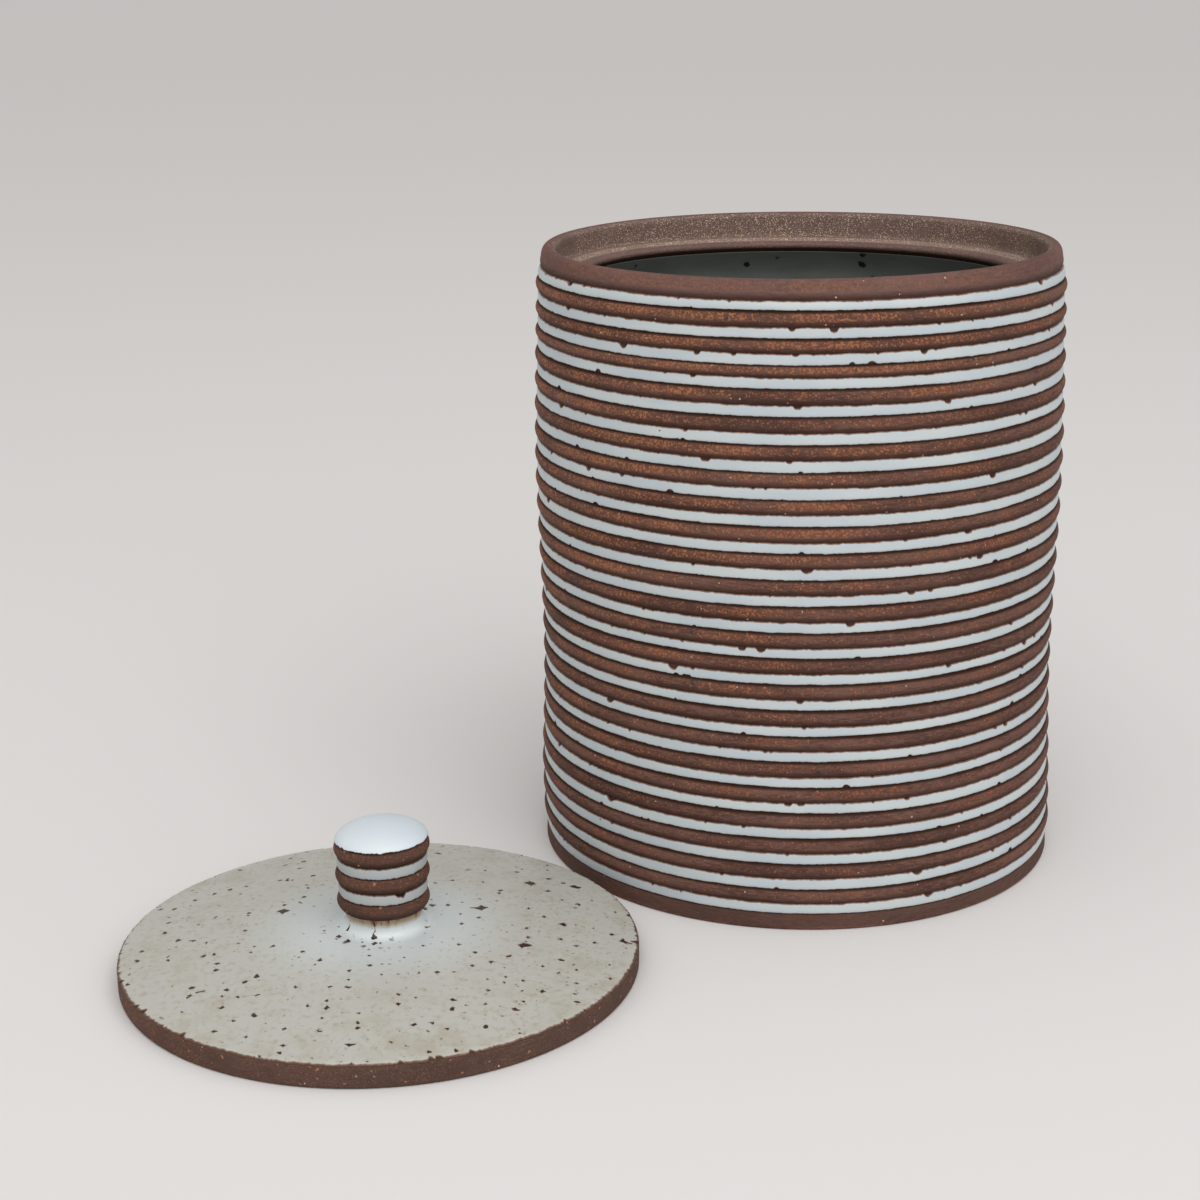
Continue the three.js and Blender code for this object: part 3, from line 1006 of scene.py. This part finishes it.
# %% Knob clay
KNOB_TURNS = 200
KNOB_POINTS = 13
KNOB_FACE = 0.55
KNOB_RIB_DEPTH = 0.95
KNOB_GROOVE_SAG = 0.15
KNOB_GLAZE_SINK = 0.52
KNOB_TAPER = 0.4
KNOB_SLIP = 1.1
KNOB_MARKS = (0.0, 0.75, 0.1)
CAP_TILT = 0.3
RING_TILT = 0.16
TILT_SIDE = -0.25
CAP_ROOM = 0.9
LUMP_ANGLE = math.radians(-61)
LUMP_SIZE = 1.1
LUMP_RISE = 0.55
LUMP_FLAT = 1.3

cap_low, cap_high = node_box("knob_cap_glaze")
knob_radius = (cap_high[0] - cap_low[0]) / 2 + KNOB_FACE
knob_centre = lid_centre + (KNOB_SLIP, 0)
cap_start, cap_top = cap_low[2], cap_high[2]
knob_bands = np.array([node_box(f"knob_band_glaze_{n}") for n in (1, 2)])[:, :, 2]
knob_edges = np.array([rib_start, *knob_bands.ravel(), cap_start])
lump_height = knob_bands[0, 1] + 0.5


def knob_crown(height):
    """Radius of the knob's crowns, which widens upwards in a straight line."""
    return knob_radius - KNOB_TAPER * (cap_start - height) / (cap_start - rib_start)


def knob_wall(height):
    """The knob's crowns less the depth of its ribs, share ** 2, and of its hollow grooves."""
    share, groove = share_between(height, knob_edges)
    bed = KNOB_RIB_DEPTH + KNOB_GROOVE_SAG * (1 - share**2)
    return knob_crown(height) - np.where(groove, bed, KNOB_RIB_DEPTH * share**2)


def knob_tilt(angle, height):
    """How far the knob's rings rise to the right of the photograph: little below, most at the cap's edge."""
    climb = fade(height, rib_start, cap_start)
    tilt = RING_TILT * climb + (CAP_TILT - RING_TILT) * climb**6
    return np.cos(angle - TILT_SIDE) * tilt * fade(height, cap_top, cap_start)


def make_knob():
    """Neck, ribs, grooves and the dome under the cap, with a round lump pushed out of the middle rib."""
    seat = np.array([AXIS_GAP, 8.0]), np.full(2, knob_seat - 0.4)
    neck = arc(knob_foot_radius, knob_seat + NECK_RISE, NECK_SPREAD, NECK_RISE, 268, 180, 7)
    stem = np.full(2, NECK_RADIUS), np.array([knob_seat + NECK_RISE + 0.1, rib_start - 0.02])
    ribs = np.unique(between(knob_edges[:-1], knob_edges[1:], eased(KNOB_POINTS)).round(5))
    dome = arc(0, cap_start, knob_radius - KNOB_RIB_DEPTH, cap_top - cap_start - CAP_ROOM, 6, 80, 12)
    radius, height = join(seat, neck, stem, (knob_wall(ribs), ribs), dome)
    angle = around(KNOB_TURNS)
    sideways = turned_from(angle, LUMP_ANGLE) * knob_radius
    away = np.hypot(sideways, (height - lump_height) * LUMP_FLAT) / LUMP_SIZE
    lump = LUMP_RISE * np.exp(-(away**2)) * (height > rib_start)
    share, groove = share_between(height, knob_edges)
    # Knob grooves get the black of burnt edges and painted shade; rib undersides get painted shade.
    across = np.where(groove, 1, np.where(share > 0, share**3, share))
    marks = dict(zip(CLAY_MARKS, (across, *KNOB_MARKS)))
    places = radius + lump, height + knob_tilt(angle, height)
    return turned_piece("knob_clay", *places, centre=knob_centre, marks=marks)


set_in_place(make_knob(), clay, "lid", "clay", "lid_knob")

# %% [markdown]
# ## The lid's glaze
#
# The lid's glaze is thinner and greener than the bands. Iron from the clay came up through it as brown
# specks of three sizes. The specks are flat patterns seen from above, so on the neck they run as short
# upright dashes, as they do on the real one. Near the knob the glaze is thicker, and so it is whiter.

# %% Lid glaze finish
LID_GREY = paint(196, 195, 187)
LID_OCHRE = paint(174, 164, 142)
LID_WHITE = paint(216, 224, 226)
POOL_WHITE_AND_HIGHLIGHT = paint(226, 233, 235)
NECK_STRAW = paint(156, 136, 106)
SPECK_DARK = paint(54, 22, 6)
SPECK_RUST = paint(126, 90, 60)
EDGE_RUST = paint(104, 70, 50)
NECK_FRONT = (-0.6, -0.8, 0.0)
ANGULAR = {"voronoi_dimensions": "2D", "distance": "MANHATTAN"}
FAINT_SPECKS = (2.1, -0.32, 0.52, 0.25)
NECK_DASHES = (2.0, -0.35, 1.0, 0.2)
SPECKS = ((3.7, -0.85, 0.8, 0.9), (11.0, -3.0, 1.6, 2.2))
HALO_WIDTH = 0.2


def lid_ground(where, out, up):
    """Grey-green with ochre clouds further out, whiter near the knob, straw with streaks up the neck.

    At the foot of the neck a ring of white is partly pooled glaze and partly a painted highlight.
    """
    cloud = step(drift(where, 9, 3, 0.6), 0.45, 0.75)
    mottle = step(drift(where, 1.6, 3, 0.65), 0.48, 0.72)
    streak = step(drift(stretch(where, 0.4), 1.3, 2), 0.48, 0.7)
    return layers(
        LID_GREY,
        (LID_OCHRE, cloud, step(out, 0.2, 0.9), 0.55),
        (LID_OCHRE, mottle, 0.6),
        (LID_WHITE, step(out, 0.5, 0.0), 0.9),
        # Pooled white and a painted highlight at the foot of the neck.
        (POOL_WHITE_AND_HIGHLIGHT, step(up, 0.35, 0.05), step(out, 0.03, 0.0)),
        (NECK_STRAW, step(up, 0.3, 0.8)),
        (SPECK_RUST, streak, step(up, 0.35, 0.9)),
    )


def lid_specks(where, colour, out):
    """Faint specks in clouds, small and large ones with a rusty halo, and dashes in front of the neck.

    Each row of specks has its cell, its smallest and largest radius, and how far noise bends its outline.
    """
    ragged = nudge(where, 1.5, 0.7)
    crowd = step(drift(where, 16), 0.38, 0.56)
    colour = lay(colour, SPECK_RUST, spots(ragged, *FAINT_SPECKS, **ANGULAR), crowd, 0.55)
    for cell, smallest, largest, bend in SPECKS:
        bent = nudge(where, 1.5 * bend, bend)
        halo = spots(bent, cell, smallest + HALO_WIDTH, largest + HALO_WIDTH, 0.3, **ANGULAR)
        colour = lay(colour, SPECK_RUST, halo, 0.75)
        colour = lay(colour, SPECK_DARK, spots(bent, cell, smallest, largest, 0.25, **ANGULAR))
    front = step(toward(where, NECK_FRONT), 0.003, 0.008)
    dashes = spots(ragged, *NECK_DASHES, **ANGULAR)
    return lay(colour, SPECK_DARK, dashes, step(out, 0.1, 0.04), front)


def lid_finish():
    """The ground, its specks, and a burnt edge. The glaze is glossier near the knob."""
    material, shader, where = new_finish("lid_glaze", GLAZE_GLOSS)
    where = stretch(where, 1, (*(-lid_centre / MM), 0.0))
    out = mark(where, "from_knob")
    colour = lid_ground(where, out, mark(where, "up_neck"))
    colour = lid_specks(where, colour, out)
    waver = product(drift(where, 1.4), 0.7)
    edge = calc("SUBTRACT", mark(where, "from_edge"), waver)
    colour = lay(EDGE_RUST, colour, step(edge, -0.15, 0.3))
    rough = span(out, 0.0, 0.08, 0.24, 0.42)
    dress(shader, colour, rough, drift(where, 3, 3), 0.06)
    return material


lid_glaze = lid_finish()
print("lid glaze has", len(lid_glaze.node_tree.nodes), "nodes")

# %% [markdown]
# ## The coat on the lid
#
# The coat starts at a ragged edge just inside the lid's corner, where a few grains have bitten ticks out of
# it. It follows the dome and turns up onto the knob's neck. The knob was set a millimetre off the middle, so
# the inner part of the coat slips to the side with it, and the slip fades out on the dome.

# %% Lid glaze coat
COAT_TURNS = 1024
COAT_POINTS = 44
COAT_THICKNESS = 0.35
COAT_BITES = (60, 0.8, 1.4)
COAT_RAGGED = 0.08
COAT_NOISE = (20, 480, 0.6)
COAT_INSET = 0.15
COAT_ROUND = 0.9
COAT_SUNK = 0.1
COAT_ROOT = 0.4
NECK_START = 0.8
SLIP_END = 30.0


def make_lid_coat():
    """The coat from its bitten outer edge, over the dome, up the neck to the lowest rib of the knob."""
    dice = np.random.default_rng(7)
    bite = ring_bites(dice, COAT_TURNS, lid_radius, *COAT_BITES)
    ragged = COAT_RAGGED * ring_noise(dice, COAT_TURNS, *COAT_NOISE)
    edge = lid_radius - COAT_INSET + np.minimum(ragged, 0.1) - bite
    share = np.linspace(0, 1, COAT_POINTS) ** 1.4
    radius = edge + (knob_foot_radius + 0.2 - edge) * share
    film = (COAT_THICKNESS + COAT_SUNK) * np.sqrt(fade(edge - radius, 0, COAT_ROUND)) - COAT_SUNK
    height = dome_height(radius) + np.minimum(film, COAT_THICKNESS)
    bend = NECK_SPREAD - COAT_THICKNESS, NECK_RISE - COAT_THICKNESS
    neck = arc(knob_foot_radius, knob_seat + NECK_RISE, *bend, 266, 180, 10)
    stem = np.full(2, NECK_RADIUS + COAT_THICKNESS), np.array([rib_start - 0.05, rib_start + 0.15])
    root = NECK_RADIUS - COAT_ROOT
    back_radius = np.array([root, root, knob_foot_radius, SLIP_END, lid_radius - 4])
    back_height = np.array([rib_start, knob_seat, *dome_height(back_radius[2:]) - COAT_ROOT])
    rest_radius, rest_height = join(neck, stem, (back_radius, back_height))
    turns = np.ones((COAT_TURNS, 1))
    radii = np.hstack([radius, turns * rest_radius])
    heights = np.hstack([height, turns * rest_height])
    up_neck = fade(heights, knob_seat + NECK_START, rib_start) * (radii < knob_foot_radius)
    from_knob = fade(radii, knob_foot_radius, lid_radius)
    marks = {"from_knob": from_knob, "up_neck": up_neck, "from_edge": edge - radii}
    slip = KNOB_SLIP * fade(radii, SLIP_END, knob_foot_radius)
    return turned_piece("lid_coat", radii, heights, centre=lid_centre, slip=slip, closed=True, marks=marks)


set_in_place(make_lid_coat(), lid_glaze, "lid", "lid_glaze", "lid_glaze")

# %% [markdown]
# ## The knob's glaze
#
# The two grooves are filled as on the jar. The cap is a thick pillow of the same white, brighter because
# it pooled there, with a ragged edge that follows the knob's tilt.

# %% Knob glaze
CAP_COOL = paint(219, 230, 238)
CAP_WARM = paint(226, 234, 239)
KNOB_COOL = paint(170, 176, 180)
KNOB_WARM = paint(178, 182, 183)
BROWN_FRINGE = paint(96, 68, 52)
SMALL_TURNS = 420
KNOB_SPILL = 0.08
KNOB_RAGGED = 0.05
KNOB_NOISE = (6, 180, 0.6)
KNOB_BITES_BELOW = (3, 0.6, 0.4)
KNOB_BITES_ABOVE = (4, 0.6, 0.5)
LUMP_BITE = 0.9
CAP_BITES = (7, 0.7, 0.7)
CAP_RAGGED = 0.07
CAP_NOISE = (4, 180, 0.7)
CAP_LIFT = 0.05
CAP_INSET = 0.3


def make_knob_band(number):
    """A glazed groove of the knob, with the same ragged film. The lump bites into the lower one."""
    dice = np.random.default_rng(300 + number)
    angle = around(SMALL_TURNS)
    ragged = [KNOB_RAGGED * ring_noise(dice, SMALL_TURNS, *KNOB_NOISE) for _ in range(2)]
    sideways = turned_from(angle, LUMP_ANGLE) * knob_radius
    lump = (1.0 - number) * LUMP_BITE * np.exp(-(sideways / LUMP_SIZE) ** 4)
    below = ring_bites(dice, SMALL_TURNS, knob_radius, *KNOB_BITES_BELOW)
    above = ring_bites(dice, SMALL_TURNS, knob_radius, *KNOB_BITES_ABOVE)
    low = knob_bands[number, 0] - KNOB_SPILL + ragged[0] + below
    high = knob_bands[number, 1] + KNOB_SPILL + ragged[1] - above - lump
    radius, height, marks = film_section(low, high, knob_wall, knob_crown, KNOB_GLAZE_SINK)
    height = height + knob_tilt(angle, height)
    name = f"knob_white_band_{number + 1}"
    return turned_piece(name, radius, height, centre=knob_centre, closed=True, marks=marks)


def make_knob_cap():
    """The pillow: a dome, rise = (1 - share ** 1.9) ** 0.55, whose edge is ragged and tucks under.

    What the edge lacks or has too much fades out up the dome as (1 - rise) ** 5, so it leaves no crease.
    """
    dice = np.random.default_rng(400)
    angle = around(SMALL_TURNS)
    bite = ring_bites(dice, SMALL_TURNS, knob_radius, *CAP_BITES)
    level = cap_start + CAP_LIFT
    edge = level + CAP_RAGGED * ring_noise(dice, SMALL_TURNS, *CAP_NOISE) + bite
    brim = knob_radius - CAP_INSET
    share = np.sin(np.linspace(np.pi / 2, 0.06, 30))
    rise = (1 - share**1.9) ** 0.55
    height = level + (cap_top - level) * rise + (edge - level) * (1 - rise) ** 5
    radii = np.array([AXIS_GAP, brim - 1.2, brim - 0.5, *brim * share])
    heights = np.hstack([edge + np.array([0.3, 0.2, -0.1]), height])
    low = np.hstack([np.zeros((SMALL_TURNS, 3)), height - edge])
    marks = {"from_lower_edge": low, "from_upper_edge": 5.0}
    heights = heights + knob_tilt(angle, heights)
    return turned_piece("knob_cap", radii, heights, centre=knob_centre, marks=marks)


knob_finish = band_finish("knob_band_glaze", KNOB_COOL, KNOB_WARM, BROWN_FRINGE)
for number in range(2):
    set_in_place(make_knob_band(number), knob_finish, "lid", "band_glaze", f"knob_band_glaze_{number + 1}")
cap_glaze = band_finish("cap_glaze", CAP_COOL, CAP_WARM, TAN_FRINGE)
set_in_place(make_knob_cap(), cap_glaze, "lid", "band_glaze", "knob_cap_glaze")

# %% [markdown]
# ## Table and light
#
# The photograph has a pale ground and very soft light. Most of it comes from all round, but more from above
# and in front than from the back, so there is hardly any shade in front of the foot. A wide floor under a
# sky that is brightest up in front does this. A large window in front, above and to the right gives a weak
# shadow behind the jar: one big area lamp. The camera itself sees an even, pale sky.

# %% Table and light
FLOOR_TONE = paint(240, 238, 237)
FLOOR_GLOSS = 0.1
FLOOR_ROUGH = 0.95
FLOOR_HALF = 20.0
SKY_TONE = (1.0, 0.985, 0.97, 1.0)
SKY_BRIGHT = (0.1, -0.68, 0.72)
SKY_MOST = 0.83
SKY_LEAST = 0.065
SKY_SEEN = 0.55
WINDOW_PLACE = (0.24, -1.05, 1.1)
WINDOW_AIM = (-0.03, -0.02, 0.05)
WINDOW_SIZE = 1.6
WINDOW_POWER = 9.8


def make_floor():
    """A wide flat table that everything stands on."""
    mesh = bpy.data.meshes.new("table")
    corners = np.array([[-1, -1, 0], [1, -1, 0], [1, 1, 0], [-1, 1, 0]]) * FLOOR_HALF
    mesh.from_pydata(corners.tolist(), [], [(0, 1, 2, 3)])
    material, shader, _ = new_finish("pale_table", FLOOR_GLOSS)
    plug(shader, {"Base Color": FLOOR_TONE, "Roughness": FLOOR_ROUGH})
    mesh.materials.append(material)
    floor = show("table", mesh)


def make_sky():
    """A sky that fades away from its bright side, and is even where the camera or a reflection sees it."""
    world = bpy.data.worlds.new("soft_sky")
    world.use_nodes = True
    tree = world.node_tree
    direction = wire("TexCoord", {}, tree).outputs["Generated"]
    glow = span(toward(direction, SKY_BRIGHT), -1.0, 1.0, SKY_LEAST, SKY_MOST)
    path = wire("LightPath", {}, tree).outputs
    seen = calc("MAXIMUM", path["Is Camera Ray"], path["Is Glossy Ray"])
    strength = wire("Mix", {0: seen, 2: glow, 3: SKY_SEEN}).outputs[0]
    plug(tree.nodes["Background"], {"Color": SKY_TONE, "Strength": strength})
    bpy.context.scene.world = world


def make_window():
    """One big lamp at its place, turned so that it shines at the jar."""
    lamp = bpy.data.lights.new("window", "AREA")
    lamp.size = WINDOW_SIZE
    lamp.energy = WINDOW_POWER
    place = Matrix.Translation(WINDOW_PLACE)
    away = place.translation - Matrix.Translation(WINDOW_AIM).translation
    show("window", lamp).matrix_world = place @ away.to_track_quat("Z", "Y").to_matrix().to_4x4()


make_floor()
make_sky()
make_window()
bpy.context.scene.view_settings.view_transform = "Standard"
print("table and light are set")
